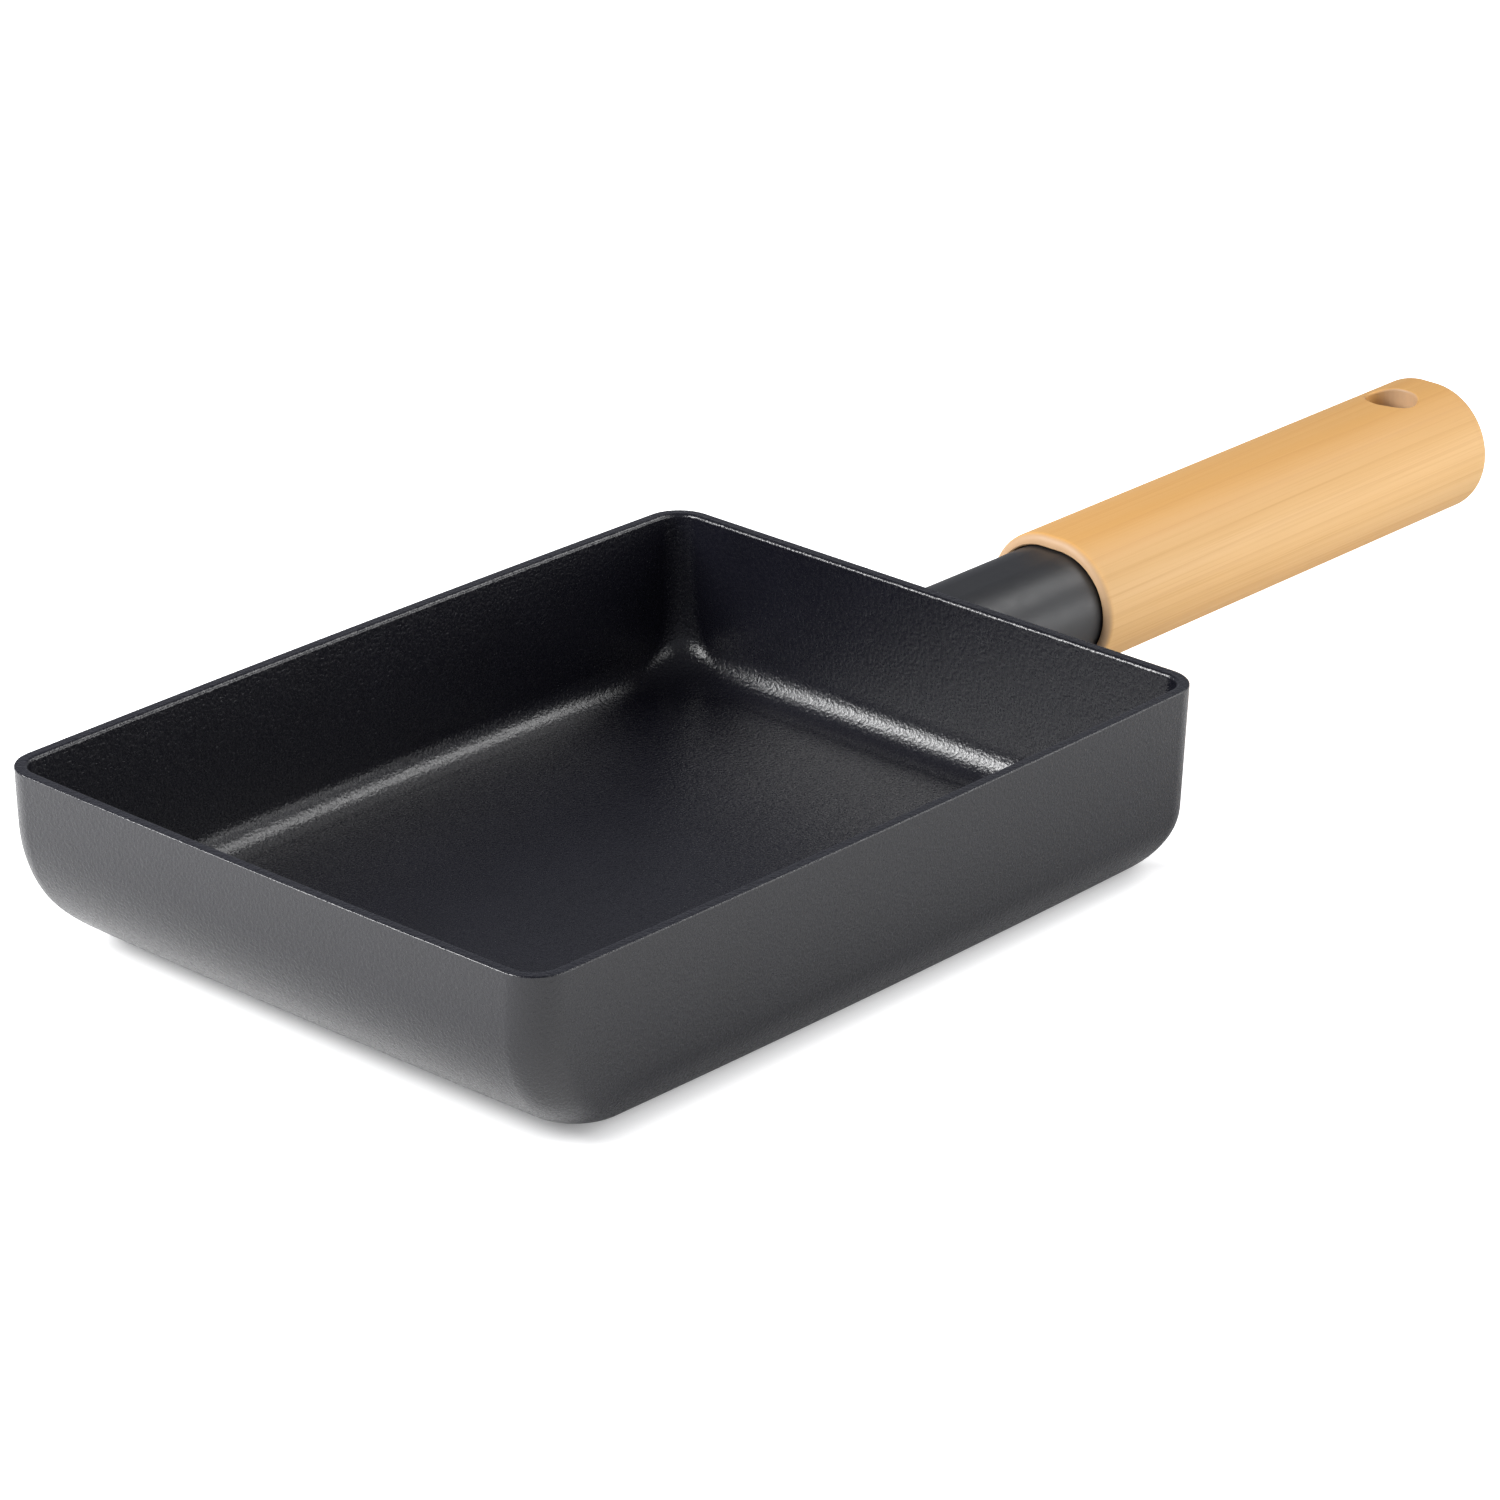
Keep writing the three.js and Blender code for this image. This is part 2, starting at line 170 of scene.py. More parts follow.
coat = sprayed_non_stick_coat()
print("made", coat.name)

# %% [markdown]
# ## The collar's paint
# The collar is die-cast and stove-enamelled in satin black. It is much smoother than the pan beside it,
# so it shows one long, clean, soft reflection. A faint ripple in the enamel keeps that reflection from
# looking machined.

# %% Paint material
ENAMEL_RIPPLE = 3
ENAMEL_TONES = "#18191b", "#1f2023"
ENAMEL_ROUGHNESS = 0.45, 0.51
ENAMEL_RELIEF = 0.05 * MM


def stoved_satin_black_enamel():
    """Near black, with a soft clean sheen along the round side."""
    material, tree, output = new_material("stoved_satin_black_enamel")
    place = add(tree, "ShaderNodeTexCoord").outputs["Object"]
    ripple = add(tree, "ShaderNodeTexNoise", {}, {
        "Vector": place, "Scale": per_metre(ENAMEL_RIPPLE), "Detail": 2.0})
    gloss = add(tree, "ShaderNodeMapRange", {}, {
        "Value": ripple.outputs["Fac"], "From Min": 0.3, "From Max": 0.7,
        "To Min": ENAMEL_ROUGHNESS[0], "To Max": ENAMEL_ROUGHNESS[1]})
    tone = add(tree, "ShaderNodeMix", COLOUR_MIX, {
        "Factor": ripple.outputs["Fac"], MIX_A: colour(ENAMEL_TONES[0]), MIX_B: colour(ENAMEL_TONES[1])})
    bump = add(tree, "ShaderNodeBump", {}, {
        "Height": ripple.outputs["Fac"], "Strength": 0.1, "Distance": ENAMEL_RELIEF})
    surface = add(tree, "ShaderNodeBsdfPrincipled", {}, {
        "Base Color": tone.outputs[MIX_RESULT], "Roughness": gloss.outputs["Result"],
        "IOR": 1.63, "Normal": bump.outputs["Normal"]})
    tree.links.new(surface.outputs["BSDF"], output.inputs["Surface"])
    return material


enamel = stoved_satin_black_enamel()
print("made", enamel.name)

# %% [markdown]
# ## The beech
# The handle is turned from straight-grained beech and oiled. Along the grain the eye finds wide bands of
# warmer and paler wood, thin darker lines where the year rings come to the surface, and fine fibres. A
# deeper, warmer strip is painted along the top of the handle as painted shade, for the top takes less
# sheen than the side. Across the grain, where the wood faces along the handle, it is paler and pinker.
# Stretched noise makes the bands and the fibres, distorted waves make the rings, the height on the handle
# sets the painted shade along the top, and the direction that the surface faces chooses the end grain.

# %% Wood material
BAND_WIDTH, BAND_LENGTH = 9, 160
BAND_TONES = "#dfac67", "#efc78e"
# The strip along the top is painted shade: the top is mixed towards a deeper tone where it takes less sheen
# than the side.
PAINTED_TOP_SHADE_STRIP, PAINTED_TOP_SHADE_SHARE, PAINTED_TOP_SHADE_TONE = (29 * MM, 40 * MM), 0.6, "#cf9547"
RING_SPACING, RING_SHARE, RING_TONE = 3.6, 0.23, "#c98f4e"
RING_TILT = math.radians(24), math.radians(-1.2), math.radians(1.5)
RING_STRETCH = 0.06, 1.0, 1.0
FIBRE_WIDTH, FIBRE_LENGTH, FIBRE_SHARE, FIBRE_TONE = 0.35, 60, 0.35, "#cf9a58"
END_GRAIN_SHARE, END_GRAIN_TONE = 0.85, "#bc9b7a"
WOOD_ROUGHNESS = 0.48, 0.6
WOOD_RELIEF = 0.08 * MM
# At a scale of 1, a wave texture's stripes lie this far apart.
WAVE_LENGTH = math.tau / 20


def turned_oiled_beech():
    """Honey-coloured, satin, with fine lines along the handle and paler end grain."""
    material, tree, output = new_material("turned_oiled_beech")
    coordinates = add(tree, "ShaderNodeTexCoord")
    place = coordinates.outputs["Object"]
    along_bands = add(tree, "ShaderNodeMapping", {}, {
        "Vector": place, "Scale": (per_metre(BAND_LENGTH), per_metre(BAND_WIDTH), per_metre(BAND_WIDTH))})
    bands = add(tree, "ShaderNodeTexNoise", {}, {
        "Vector": along_bands.outputs["Vector"], "Scale": 1.0, "Detail": 2.0})
    along_fibres = add(tree, "ShaderNodeMapping", {}, {
        "Vector": place, "Scale": (per_metre(FIBRE_LENGTH), per_metre(FIBRE_WIDTH), per_metre(FIBRE_WIDTH))})
    fibres = add(tree, "ShaderNodeTexNoise", {}, {
        "Vector": along_fibres.outputs["Vector"], "Scale": 1.0, "Detail": 2.0, "Roughness": 0.55})
    across_rings = add(tree, "ShaderNodeMapping", {}, {
        "Vector": place, "Rotation": RING_TILT, "Scale": RING_STRETCH})
    rings = add(tree, "ShaderNodeTexWave", {"bands_direction": "Z", "wave_profile": "SAW"}, {
        "Vector": across_rings.outputs["Vector"], "Scale": per_metre(RING_SPACING) * WAVE_LENGTH,
        "Distortion": 3.0, "Detail": 2.0, "Detail Scale": 1.2})
    ring_line = add(tree, "ShaderNodeMapRange", {}, {
        "Value": rings.outputs["Fac"], "From Min": 0.75, "From Max": 1.0,
        "To Min": 0.0, "To Max": RING_SHARE})
    fibre_line = add(tree, "ShaderNodeMapRange", {}, {
        "Value": fibres.outputs["Fac"], "From Min": 0.5, "From Max": 0.75,
        "To Min": 0.0, "To Max": FIBRE_SHARE})
    body = add(tree, "ShaderNodeMix", COLOUR_MIX, {
        "Factor": bands.outputs["Fac"], MIX_A: colour(BAND_TONES[0]), MIX_B: colour(BAND_TONES[1])})
    # Painted shade along the top: the colour is mixed towards a deeper tone by height on the handle.
    upward = add(tree, "ShaderNodeSeparateXYZ", {}, {"Vector": place})
    painted_top_shade = add(tree, "ShaderNodeMapRange", {"interpolation_type": "SMOOTHSTEP"}, {
        "Value": upward.outputs["Z"], "From Min": PAINTED_TOP_SHADE_STRIP[0], "From Max": PAINTED_TOP_SHADE_STRIP[1],
        "To Min": 0.0, "To Max": PAINTED_TOP_SHADE_SHARE})
    top_shaded = add(tree, "ShaderNodeMix", COLOUR_MIX, {
        "Factor": painted_top_shade.outputs["Result"], MIX_A: body.outputs[MIX_RESULT], MIX_B: colour(PAINTED_TOP_SHADE_TONE)})
    ringed = add(tree, "ShaderNodeMix", COLOUR_MIX, {
        "Factor": ring_line.outputs["Result"], MIX_A: top_shaded.outputs[MIX_RESULT], MIX_B: colour(RING_TONE)})
    fibred = add(tree, "ShaderNodeMix", COLOUR_MIX, {
        "Factor": fibre_line.outputs["Result"], MIX_A: ringed.outputs[MIX_RESULT], MIX_B: colour(FIBRE_TONE)})
    facing = add(tree, "ShaderNodeSeparateXYZ", {}, {"Vector": coordinates.outputs["Normal"]})
    end_on = add(tree, "ShaderNodeMath", {"operation": "ABSOLUTE"}, {0: facing.outputs["X"]})
    end_grain = add(tree, "ShaderNodeMapRange", {}, {
        "Value": end_on.outputs["Value"], "From Min": 0.3, "From Max": 0.75,
        "To Min": 0.0, "To Max": END_GRAIN_SHARE})
    tint = add(tree, "ShaderNodeMix", COLOUR_MIX, {
        "Factor": end_grain.outputs["Result"], MIX_A: fibred.outputs[MIX_RESULT],
        MIX_B: colour(END_GRAIN_TONE)})
    gloss = add(tree, "ShaderNodeMapRange", {}, {
        "Value": fibres.outputs["Fac"], "From Min": 0.3, "From Max": 0.7,
        "To Min": WOOD_ROUGHNESS[0], "To Max": WOOD_ROUGHNESS[1]})
    bump = add(tree, "ShaderNodeBump", {}, {
        "Height": fibres.outputs["Fac"], "Strength": 0.12, "Distance": WOOD_RELIEF})
    surface = add(tree, "ShaderNodeBsdfPrincipled", {}, {
        "Base Color": tint.outputs[MIX_RESULT], "Roughness": gloss.outputs["Result"],
        "IOR": 1.5, "Normal": bump.outputs["Normal"]})
    tree.links.new(surface.outputs["BSDF"], output.inputs["Surface"])
    return material


beech = turned_oiled_beech()
print("made", beech.name)

# %% [markdown]
# ## The hidden hardware
# Inside the collar sit a stud, a nut, two washers and a brass insert. Nobody sees them until the handle
# is unscrewed, so their solids stay as they are and only get a finish. Both are metals that differ in
# colour and in how their surface was made, so one function makes both.

# %% Hardware materials
METAL_GRAIN, METAL_SMOOTHEST = 0.8, 0.25


def machined_metal(name, low, high, roughest):
    """A bright metal whose tone and gloss drift a little, as plating and turning leave it."""
    material, tree, output = new_material(name)
    place = add(tree, "ShaderNodeTexCoord").outputs["Object"]
    drift = add(tree, "ShaderNodeTexNoise", {}, {
        "Vector": place, "Scale": per_metre(METAL_GRAIN), "Detail": 3.0})
    tone = add(tree, "ShaderNodeMix", COLOUR_MIX, {
        "Factor": drift.outputs["Fac"], MIX_A: colour(low), MIX_B: colour(high)})
    gloss = add(tree, "ShaderNodeMapRange", {}, {
        "Value": drift.outputs["Fac"], "From Min": 0.3, "From Max": 0.7,
        "To Min": METAL_SMOOTHEST, "To Max": roughest})
    surface = add(tree, "ShaderNodeBsdfPrincipled", {}, {
        "Base Color": tone.outputs[MIX_RESULT], "Metallic": 1.0, "Roughness": gloss.outputs["Result"]})
    tree.links.new(surface.outputs["BSDF"], output.inputs["Surface"])
    return material


hardware_finishes = {
    machined_metal("zinc_plated_steel", "#a9adb2", "#c6c9cc", 0.4):
        ("handle_stud", "flat_washer", "spring_washer", "hex_nut"),
    machined_metal("turned_brass", "#c2994a", "#d8b768", 0.35): ("threaded_insert",),
}
for finish, node_names in hardware_finishes.items():
    for node_name in node_names:
        for material_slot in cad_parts[node_name].material_slots:
            material_slot.material = finish
    print(finish.name, "on", ", ".join(node_names))

# %% [markdown]
# ## One way to make every big piece
# The pan, the collar and the handle are all stacks of rounded rectangles: the pan's lie flat and shrink
# towards its floor, and the handle's stand on edge. A rounded rectangle is a circle cut in four whose
# quarters are moved apart. So each piece starts from one circle. Two layers on its vertices remember
# which quarter a vertex belongs to and which way is out, and every extrusion copies both layers, so a
# new ring always knows how to lie down at its own size. This gives exact corners, which bevelling a box
# with four different radii would not.

# %% Ring helpers
SHARP_ANGLE = math.radians(40)


def start_ring(bm, corner_steps, wall_cuts):
    """A circle of edges whose vertices know their quarter and their outward direction."""
    made = bmesh.ops.create_circle(bm, segments=4 * corner_steps, radius=1.0)
    half_step = Matrix.Rotation(math.pi / (4 * corner_steps), 3, "Z")
    bmesh.ops.rotate(bm, verts=made["verts"], matrix=half_step)
    quarter = bm.verts.layers.float_vector.new("quarter")
    outward = bm.verts.layers.float_vector.new("outward")
    for vert in bm.verts:
        vert[outward] = vert.co
        vert[quarter] = (math.copysign(1, vert.co.x), math.copysign(1, vert.co.y), 0)
    walls = [edge for edge in bm.edges if edge.verts[0][quarter] != edge.verts[1][quarter]]
    if wall_cuts:
        bmesh.ops.subdivide_edges(bm, edges=walls, cuts=wall_cuts)
    return list(bm.verts)


def next_ring(bm, ring):
    """Extrude a ring of edges, and give back the vertices of the new ring."""
    members = set(ring)
    edges = {edge for vert in ring for edge in vert.link_edges
             if edge.other_vert(vert) in members and not len(edge.link_faces) > 1}
    made = bmesh.ops.extrude_edge_only(bm, edges=list(edges))
    return [item for item in made["geom"] if isinstance(item, bmesh.types.BMVert)]


def lay_ring(bm, ring, size, radius, to_place, bow=None):
    """Spread a ring to a rounded rectangle. `size` is (low, high) along each of its two ways."""
    quarter = bm.verts.layers.float_vector["quarter"]
    outward = bm.verts.layers.float_vector["outward"]
    (low_a, high_a), (low_b, high_b) = size
    for vert in ring:
        share_a, share_b = (vert[quarter].x + 1) / 2, (vert[quarter].y + 1) / 2
        out = vert[outward].normalized() * (radius + (bow(vert[quarter]) if bow else 0))
        a = low_a + radius + (high_a - low_a - 2 * radius) * share_a + out.x
        b = low_b + radius + (high_b - low_b - 2 * radius) * share_b + out.y
        vert.co = to_place(a, b)


def fill_open_ends(bm):
    """Close every open ring of edges with one face, and give back these faces."""
    open_edges = [edge for edge in bm.edges if edge.is_boundary]
    return bmesh.ops.holes_fill(bm, edges=open_edges)["faces"]


def write_mesh(bm, mesh):
    """Turn the faces outwards, write them to a mesh, and shade it smooth but for its sharp edges."""
    bmesh.ops.recalc_face_normals(bm, faces=bm.faces)
    bm.to_mesh(mesh)
    bm.free()
    mesh.shade_smooth()
    mesh.set_sharp_from_angle(angle=SHARP_ANGLE)


def finish_piece(bm, name, material):
    """Make an object of a finished mesh and its material."""
    mesh = bpy.data.meshes.new(name)
    mesh.materials.append(material)
    write_mesh(bm, mesh)
    piece = bpy.data.objects.new(name, mesh)
    scene.collection.objects.link(piece)
    return piece


def round_bar(radius, centre, length, axis, sides=64):
    """A tool for Boolean cuts and joins: a cylinder along an axis, about a centre."""
    bm = bmesh.new()
    turn = Vector(axis).to_track_quat("Z", "Y").to_matrix().to_4x4()
    bmesh.ops.create_cone(bm, cap_ends=True, segments=sides, radius1=radius, radius2=radius,
                          depth=length, matrix=Matrix.Translation(centre) @ turn)
    return finish_piece(bm, "tool", None)


def combine(piece, tool, operation):
    """Cut a tool out of a piece or join it on, then take the tool away."""
    boolean = piece.modifiers.new("combine", "BOOLEAN")
    boolean.operation, boolean.solver, boolean.object = operation, "EXACT", tool
    result = piece.evaluated_get(bpy.context.evaluated_depsgraph_get())
    bm = bmesh.new()
    bm.from_mesh(result.to_mesh())
    piece.modifiers.remove(boolean)
    bpy.data.objects.remove(tool)
    bm.to_mesh(piece.data)
    bm.free()


def quarter_turn(steps):
    """Angles from 0 to 90 degrees, both ends included."""
    return [math.pi / 2 * step / steps for step in range(steps + 1)]


print("ring helpers ready")

# %% [markdown]
# ## The pan
# One casting makes the pan: a flat floor, a front wall that sweeps up on a large radius so that a rolled
# omelette slides out, and side and back walls on smaller radii. The walls lean out by a degree or so
# and bow out by less than a millimetre. The rings run up the outside, over the rim and down the inside,
# and each one asks how far every wall has come in at its height.

# %% Pan sizes
Wall = namedtuple("Wall", "lean foot")
Skin = namedtuple("Skin", "inset floor rim_corner floor_corner flare front side back")

FRONT_BOW, SIDE_BOW = 0.45 * MM, 0.75 * MM
RIM_OUTER_ROUND, RIM_INNER_ROUND = 0.25 * MM, 0.7 * MM
OUTSIDE = Skin(
    inset=0, floor=0, rim_corner=7.7 * MM, floor_corner=9 * MM, flare=1,
    front=Wall(math.radians(1.4), 27.5 * MM),
    side=Wall(math.radians(0.6), 12.4 * MM),
    back=Wall(math.radians(0.8), 13.5 * MM))
INSIDE = Skin(
    inset=2.5 * MM, floor=4.7 * MM, rim_corner=5.2 * MM, floor_corner=15 * MM, flare=6,
    front=Wall(math.radians(1.4), 25 * MM),
    side=Wall(math.radians(3), 6 * MM),
    back=Wall(math.radians(1), 7.3 * MM))
FLOOR_MARGIN = 4 * MM
PAN_CORNER_STEPS, PAN_WALL_CUTS, FOOT_STEPS, RIM_STEPS = 14, 15, 30, 5

pan_low, pan_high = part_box("pan_body")
RIM_HEIGHT = pan_high.z
RIM_FRONT = pan_low.x + FRONT_BOW
RIM_BACK = -RIM_FRONT
RIM_SIDE = pan_high.y - SIDE_BOW
print("rim:", round(2 * RIM_BACK / MM, 1), "x", round(2 * RIM_SIDE / MM, 1), "mm")


def wall_inset(skin, wall, z):
    """How far a leaning wall on a rounded foot has come in from the outer rim, at a height."""
    height, rise = z - skin.floor, RIM_HEIGHT - skin.floor
    foot_height = wall.foot * (1 - math.sin(wall.lean))
    if height >= foot_height:
        return skin.inset + (rise - height) * math.tan(wall.lean)
    floor_inset = (rise - foot_height) * math.tan(wall.lean) + wall.foot * math.cos(wall.lean)
    return skin.inset + floor_inset - math.sqrt(max(0, wall.foot ** 2 - (wall.foot - height) ** 2))


def wall_bow(quarter):
    """How far the long walls and the front wall bulge, from nothing at the corners."""
    if abs(quarter.y) > 0.999:
        return SIDE_BOW * (1 - quarter.x ** 2)
    return FRONT_BOW * (1 - quarter.y ** 2) if quarter.x < 0 else 0


def lay_pan_ring(bm, ring, skin, z, rim_inset=0):
    """Lay one ring of a skin of the pan at a height, moved in a little where the rim rounds over."""
    front, side, back = (wall_inset(skin, wall, z) + rim_inset for wall in (skin.front, skin.side, skin.back))
    size = (RIM_FRONT + front, RIM_BACK - back), (side - RIM_SIDE, RIM_SIDE - side)
    depth = (RIM_HEIGHT - z) / (RIM_HEIGHT - skin.floor)
    corner = skin.rim_corner + (skin.floor_corner - skin.rim_corner) * depth ** skin.flare - rim_inset
    lay_ring(bm, ring, size, corner, lambda x, y: Vector((x, y, z)), wall_bow)


# %% Pan mesh
def foot_levels(skin):
    """(skin, height) of each ring from a skin's floor to the top of its largest foot."""
    foot = max(wall.foot for wall in (skin.front, skin.side, skin.back))
    return [(skin, skin.floor + foot * (1 - math.cos(angle))) for angle in quarter_turn(FOOT_STEPS)]


def rim_levels():
    """(skin, height, inset) of the rings over the rim: a round outer edge, a flat and a round inner edge."""
    outer = [(OUTSIDE, RIM_HEIGHT - RIM_OUTER_ROUND * (1 - math.sin(angle)),
              RIM_OUTER_ROUND * (1 - math.cos(angle))) for angle in quarter_turn(RIM_STEPS)]
    inner = [(INSIDE, RIM_HEIGHT - RIM_INNER_ROUND * (1 - math.cos(angle)),
              -RIM_INNER_ROUND * (1 - math.sin(angle))) for angle in quarter_turn(RIM_STEPS)]
    return outer + inner


pan_mesh = bmesh.new()
levels = foot_levels(OUTSIDE) + rim_levels() + foot_levels(INSIDE)[::-1]
ring = start_ring(pan_mesh, PAN_CORNER_STEPS, PAN_WALL_CUTS)
lay_pan_ring(pan_mesh, ring, *levels[0])
for level in levels[1:]:
    ring = next_ring(pan_mesh, ring)
    lay_pan_ring(pan_mesh, ring, *level)
bmesh.ops.inset_individual(pan_mesh, faces=fill_open_ends(pan_mesh), thickness=FLOOR_MARGIN)
print("pan:", len(pan_mesh.faces), "faces in", len(levels), "rings")
pan = finish_piece(pan_mesh, "coated_pan", coat)

# %% [markdown]
# A boss on the back wall carries the handle. It is a plain cylinder joined on, with a blind hole for
# the stud.

# %% Boss on the back wall
BOSS_RADIUS, BOSS_LENGTH = 7 * MM, 12 * MM
STUD_HOLE_RADIUS, STUD_HOLE_DEPTH = 3.15 * MM, 10 * MM
handle_low, handle_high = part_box("wooden_handle")
AXIS_HEIGHT = (handle_low.z + handle_high.z) / 2


def axis_bar(radius, start, end):
    """A bar along the handle's axis, between two places counted from the back wall."""
    middle = Vector((RIM_BACK + (start + end) / 2, 0, AXIS_HEIGHT))
    return round_bar(radius, middle, end - start, (1, 0, 0))


combine(pan, axis_bar(BOSS_RADIUS, -INSIDE.inset / 2, BOSS_LENGTH), "UNION")
combine(pan, axis_bar(STUD_HOLE_RADIUS, BOSS_LENGTH - STUD_HOLE_DEPTH, BOSS_LENGTH + MM), "DIFFERENCE")
print("pan with its boss:", len(pan.data.polygons), "faces")
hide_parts("pan_body")
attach(pan, "root")

# %% [markdown]
# ## The collar
# The collar is an oval sleeve that meets the back wall with a hair-thin joint and goes into the mouth of
# the handle. Its first ring follows the wall, so the joint stays even from top to bottom. From the far
# end the rings turn back as circles: through the socket for the nut, the web that the stud passes and
# the socket for the boss, until the last one meets the first.

# %% Collar mesh
OVAL_STEPS = 24
SEAT_GAP = 0.3 * MM
COLLAR_END_ROUND = 0.6 * MM
NUT_SOCKET_RADIUS, WEB_HOLE_RADIUS, WEB_THICKNESS = 7.5 * MM, 3.3 * MM, 6 * MM

collar_low, collar_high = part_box("handle_collar")
collar_half_width = collar_high.y
collar_half_height = (collar_high.z - collar_low.z) / 2
web_start = RIM_BACK + BOSS_LENGTH + SEAT_GAP
web_end = web_start + WEB_THICKNESS


def lay_oval(bm, ring, half_width, half_height, x_of):
    """Lay a ring as an upright oval. `x_of` gives its place along the handle at a height."""
    size = (-half_width, half_width), (AXIS_HEIGHT - half_height, AXIS_HEIGHT + half_height)
    lay_ring(bm, ring, size, half_height, lambda y, z: Vector((x_of(z), y, z)))


def back_wall(z):
    """Where the collar starts at a height: at the back wall, less the joint."""
    return RIM_BACK - wall_inset(OUTSIDE, OUTSIDE.back, z) + SEAT_GAP


def at(x):
    """The same place along the handle at every height."""
    return lambda z: x


collar_ovals = [(collar_half_width, collar_half_height, back_wall)]
for angle in quarter_turn(RIM_STEPS):
    inset = COLLAR_END_ROUND * (1 - math.cos(angle))
    end = collar_high.x - COLLAR_END_ROUND * (1 - math.sin(angle))
    collar_ovals.append((collar_half_width - inset, collar_half_height - inset, at(end)))
collar_circles = [
    (NUT_SOCKET_RADIUS, at(collar_high.x)), (NUT_SOCKET_RADIUS, at(web_end)),
    (WEB_HOLE_RADIUS, at(web_end)), (WEB_HOLE_RADIUS, at(web_start)),
    (BOSS_RADIUS + SEAT_GAP, at(web_start)), (BOSS_RADIUS + SEAT_GAP, back_wall)]

collar_mesh = bmesh.new()
ring = start_ring(collar_mesh, OVAL_STEPS, 0)
lay_oval(collar_mesh, ring, *collar_ovals[0])
for wide, high, x_of in collar_ovals[1:] + [(radius, radius, x_of) for radius, x_of in collar_circles]:
    ring = next_ring(collar_mesh, ring)
    lay_oval(collar_mesh, ring, wide, high, x_of)
bmesh.ops.bridge_loops(collar_mesh, edges=[edge for edge in collar_mesh.edges if edge.is_boundary])
print("collar:", len(collar_mesh.faces), "faces")
collar = finish_piece(collar_mesh, "enamelled_collar", enamel)
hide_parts("handle_collar")
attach(collar, "root")

# %% [markdown]
# ## The handle
# The handle is an oval bar of beech. Its mouth is rounded over so that it doesn't catch the palm, its
# tail edge is eased, and a hole near the tail lets it hang on a hook. The bar is a stack of ovals like
# the collar. The hang hole and the bore for the insert are drilled with a Boolean, because they cross
# the grain of the rings. Sandpaper eases the edges of the hang hole. A bevel folds over where the long
# edges of the bar meet the rim at a slant, so the hole is drilled a little too wide, and new rings run
# from its rims round the eased edge to the wall.

# %% Handle mesh
MOUTH_ROUND, TAIL_ROUND, MOUTH_EDGE = 1.6 * MM, 2 * MM, 0.25 * MM
HANG_HOLE_RADIUS, HANG_HOLE_FROM_TAIL, HANG_HOLE_EDGE = 5.4 * MM, 15 * MM, 0.5 * MM
INSERT_BORE_RADIUS, INSERT_BORE_DEPTH = 4.9 * MM, 18.3 * MM
END_STEPS, BODY_RINGS = 8, 12
NEARLY = 0.05 * MM

half_width = handle_high.y
half_height = (handle_high.z - handle_low.z) / 2
mouth_half_width = collar_half_width + SEAT_GAP
mouth_half_height = collar_half_height + SEAT_GAP
mouth_floor = collar_high.x + SEAT_GAP


def handle_sections():
    """(half width, half height, place) of each oval from the tail face to the bottom of the mouth."""
    sections = []
    for angle in quarter_turn(END_STEPS):
        inset = TAIL_ROUND * (1 - math.sin(angle))
        place = handle_high.x - TAIL_ROUND * (1 - math.cos(angle))
        sections.append((half_width - inset, half_height - inset, place))
    body_start, body_end = handle_high.x - TAIL_ROUND, handle_low.x + MOUTH_ROUND
    for step in range(1, BODY_RINGS):
        place = body_start + (body_end - body_start) * step / BODY_RINGS
        sections.append((half_width, half_height, place))
    for angle in quarter_turn(END_STEPS):
        inset = MOUTH_ROUND * (1 - math.cos(angle))
        place = handle_low.x + MOUTH_ROUND * (1 - math.sin(angle))
        sections.append((half_width - inset, half_height - inset, place))
    sections.append((mouth_half_width + MOUTH_EDGE, mouth_half_height + MOUTH_EDGE, handle_low.x))
    sections.append((mouth_half_width, mouth_half_height, handle_low.x + MOUTH_EDGE))
    sections.append((mouth_half_width, mouth_half_height, mouth_floor))
    return sections


handle_mesh = bmesh.new()
ring = start_ring(handle_mesh, OVAL_STEPS, 0)
for index, (wide, high, place) in enumerate(handle_sections()):
    if index:
        ring = next_ring(handle_mesh, ring)
    lay_oval(handle_mesh, ring, wide, high, at(place))
fill_open_ends(handle_mesh)
handle = finish_piece(handle_mesh, "beech_handle", beech)

# %% Handle holes
hole_place = Vector((handle_high.x - HANG_HOLE_FROM_TAIL, 0, AXIS_HEIGHT))
bore_start = mouth_floor - RIM_BACK
combine(handle, axis_bar(INSERT_BORE_RADIUS, bore_start - MM, bore_start + INSERT_BORE_DEPTH), "DIFFERENCE")
drilled_radius = HANG_HOLE_RADIUS + HANG_HOLE_EDGE
combine(handle, round_bar(drilled_radius, hole_place, 3 * half_height, (0, 0, 1)), "DIFFERENCE")


def on_drilled_wall(vert):
    """True for a vertex on the wall of the hole, as wide as it was drilled."""
    return abs((vert.co - hole_place).xy.length - drilled_radius) < NEARLY


def ease_rim(bm, ring, into):
    """Round a rim of the hole inwards with rings that sink into the wood and end at the hole's width."""
    last = 0
    for angle in quarter_turn(END_STEPS)[1:]:
        ring = next_ring(bm, ring)
        inwards, sunk = math.sin(angle) - math.sin(last), math.cos(last) - math.cos(angle)
        for vert in ring:
            to_axis = (hole_place - vert.co).xy.normalized().to_3d()
            vert.co += (to_axis * inwards + into * sunk) * HANG_HOLE_EDGE
        last = angle


